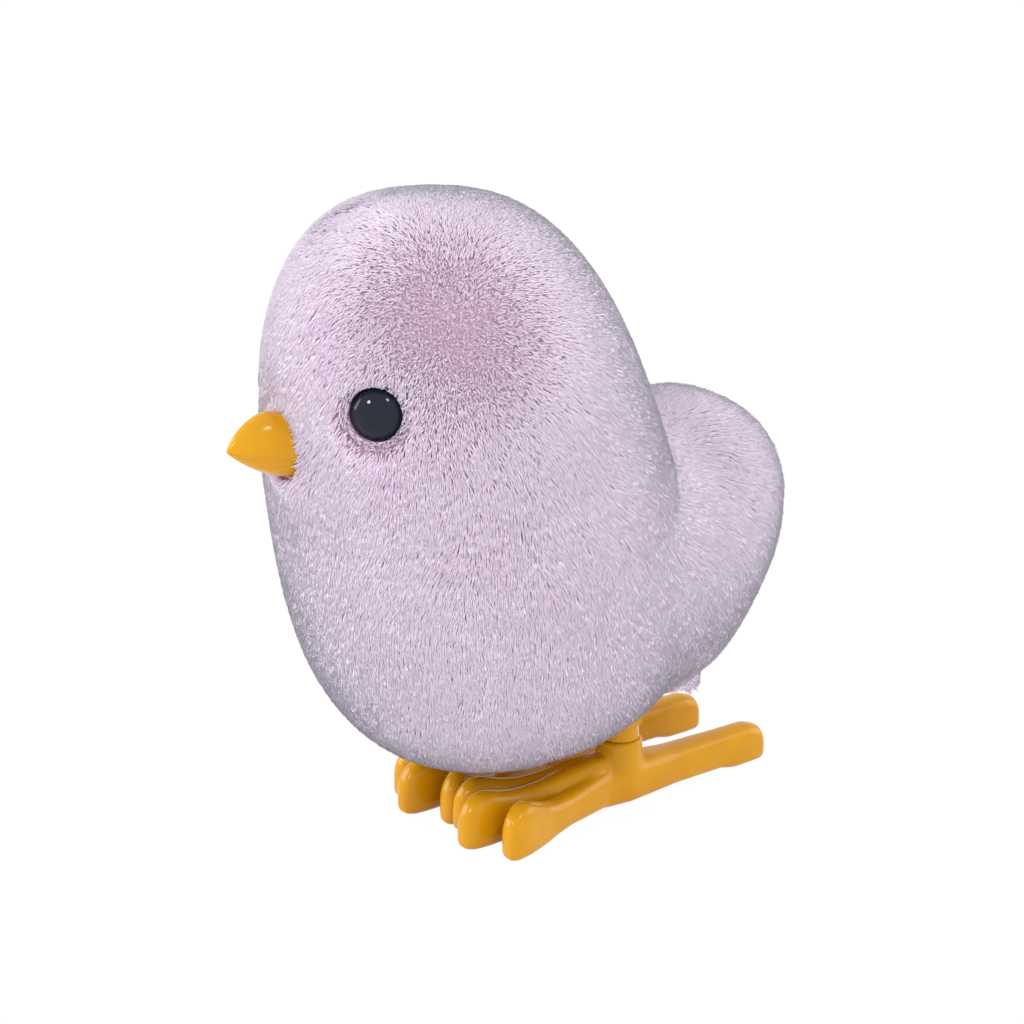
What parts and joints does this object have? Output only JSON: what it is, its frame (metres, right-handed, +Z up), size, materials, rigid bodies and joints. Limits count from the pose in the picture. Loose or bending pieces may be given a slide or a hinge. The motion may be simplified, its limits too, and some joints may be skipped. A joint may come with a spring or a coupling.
{
  "type": "wind-up hopping chick",
  "caption": "Plush wind-up chick that hops: pile-fabric body over a plastic former, spring motor with gear train, crank-driven legs and flat toed feet.",
  "frame": {"origin": "on the floor under the middle of the outline seen from above", "axes": "+Z up, -Y the way the chick faces, +X towards its left side"},
  "size_m": [0.0606, 0.0954, 0.0978],
  "materials": {
    "lilac_plush": "short dense pile",
    "orange_plastic": "glossy moulded",
    "eye_black": "glossy moulded",
    "white_plastic": "moulded",
    "grey_plastic": "moulded",
    "cream_nylon": "moulded nylon",
    "steel": "bright",
    "spring_steel": "blued",
    "brass": "stamped"
  },
  "bodies": {
    "chick": {"plush_body": "lilac_plush", "plush_rump": "lilac_plush", "shell_left": "white_plastic", "shell_right": "white_plastic", "base_plate": "white_plastic", "left_eye": "eye_black", "right_eye": "eye_black", "left_eye_washer": "steel", "right_eye_washer": "steel", "beak": "orange_plastic", "beak_washer": "steel", "motor_case_left": "grey_plastic", "motor_case_right": "grey_plastic", "case_screw_1": "steel", "case_screw_2": "steel", "case_screw_3": "steel", "base_screw_1": "steel", "base_screw_2": "steel", "base_screw_3": "steel", "base_screw_4": "steel", "idler_axle": "steel", "escape_axle": "steel", "verge_pin": "steel"},
    "winder": {"winding_knob": "orange_plastic", "spring_arbor": "steel", "ratchet_wheel": "brass", "mainspring": "spring_steel"},
    "great_wheel": {"great_gear": "cream_nylon"},
    "click_arm": {"click": "brass"},
    "idler": {"idler_gear": "cream_nylon"},
    "crank": {"crank_shaft": "steel", "crank_gear": "cream_nylon", "left_crank": "grey_plastic", "right_crank": "grey_plastic", "left_pin_clip": "steel", "right_pin_clip": "steel"},
    "escape": {"escape_wheel": "cream_nylon"},
    "anchor": {"verge": "brass"},
    "left_stepper": {"left_leg": "orange_plastic", "left_foot": "orange_plastic"},
    "right_stepper": {"right_leg": "orange_plastic", "right_foot": "orange_plastic"}
  },
  "joints": [
    {"name": "winding", "type": "hinge", "parent": "chick", "child": "winder", "pos_m": [0.00311, -0.00805, 0.03608], "axis": [1, 0, 0], "continuous": true, "deforming": ["mainspring"]},
    {"name": "drive", "type": "hinge", "parent": "chick", "child": "crank", "pos_m": [0.00311, 0.00539, 0.03347], "axis": [1, 0, 0], "continuous": true},
    {"name": "great_turn", "type": "hinge", "parent": "chick", "child": "great_wheel", "pos_m": [0.00311, -0.00805, 0.03608], "axis": [1, 0, 0], "continuous": true},
    {"name": "click_lift", "type": "hinge", "parent": "great_wheel", "child": "click_arm", "pos_m": [0.00311, -0.00805, 0.04288], "axis": [1, 0, 0], "range_deg": [0, 8]},
    {"name": "idler_turn", "type": "hinge", "parent": "chick", "child": "idler", "pos_m": [0.00311, 0.00117, 0.04254], "axis": [1, 0, 0], "continuous": true},
    {"name": "escape_turn", "type": "hinge", "parent": "chick", "child": "escape", "pos_m": [0.00311, 0.01229, 0.03926], "axis": [1, 0, 0], "continuous": true},
    {"name": "verge_rock", "type": "hinge", "parent": "chick", "child": "anchor", "pos_m": [0.00311, 0.01229, 0.04586], "axis": [1, 0, 0], "range_deg": [-5, 5]},
    {"name": "left_step", "type": "hinge", "parent": "crank", "child": "left_stepper", "pos_m": [0.00311, 0.00539, 0.03567], "axis": [1, 0, 0], "continuous": true},
    {"name": "right_step", "type": "hinge", "parent": "crank", "child": "right_stepper", "pos_m": [0.00311, 0.00539, 0.03567], "axis": [1, 0, 0], "continuous": true}
  ],
  "couplings": [
    {"joint": "great_turn", "follows": "drive", "ratio": 0.083333},
    {"joint": "idler_turn", "follows": "drive", "ratio": -0.33333},
    {"joint": "escape_turn", "follows": "drive", "ratio": -3},
    {"joint": "left_step", "follows": "drive", "ratio": -1},
    {"joint": "right_step", "follows": "drive", "ratio": -1}
  ]
}
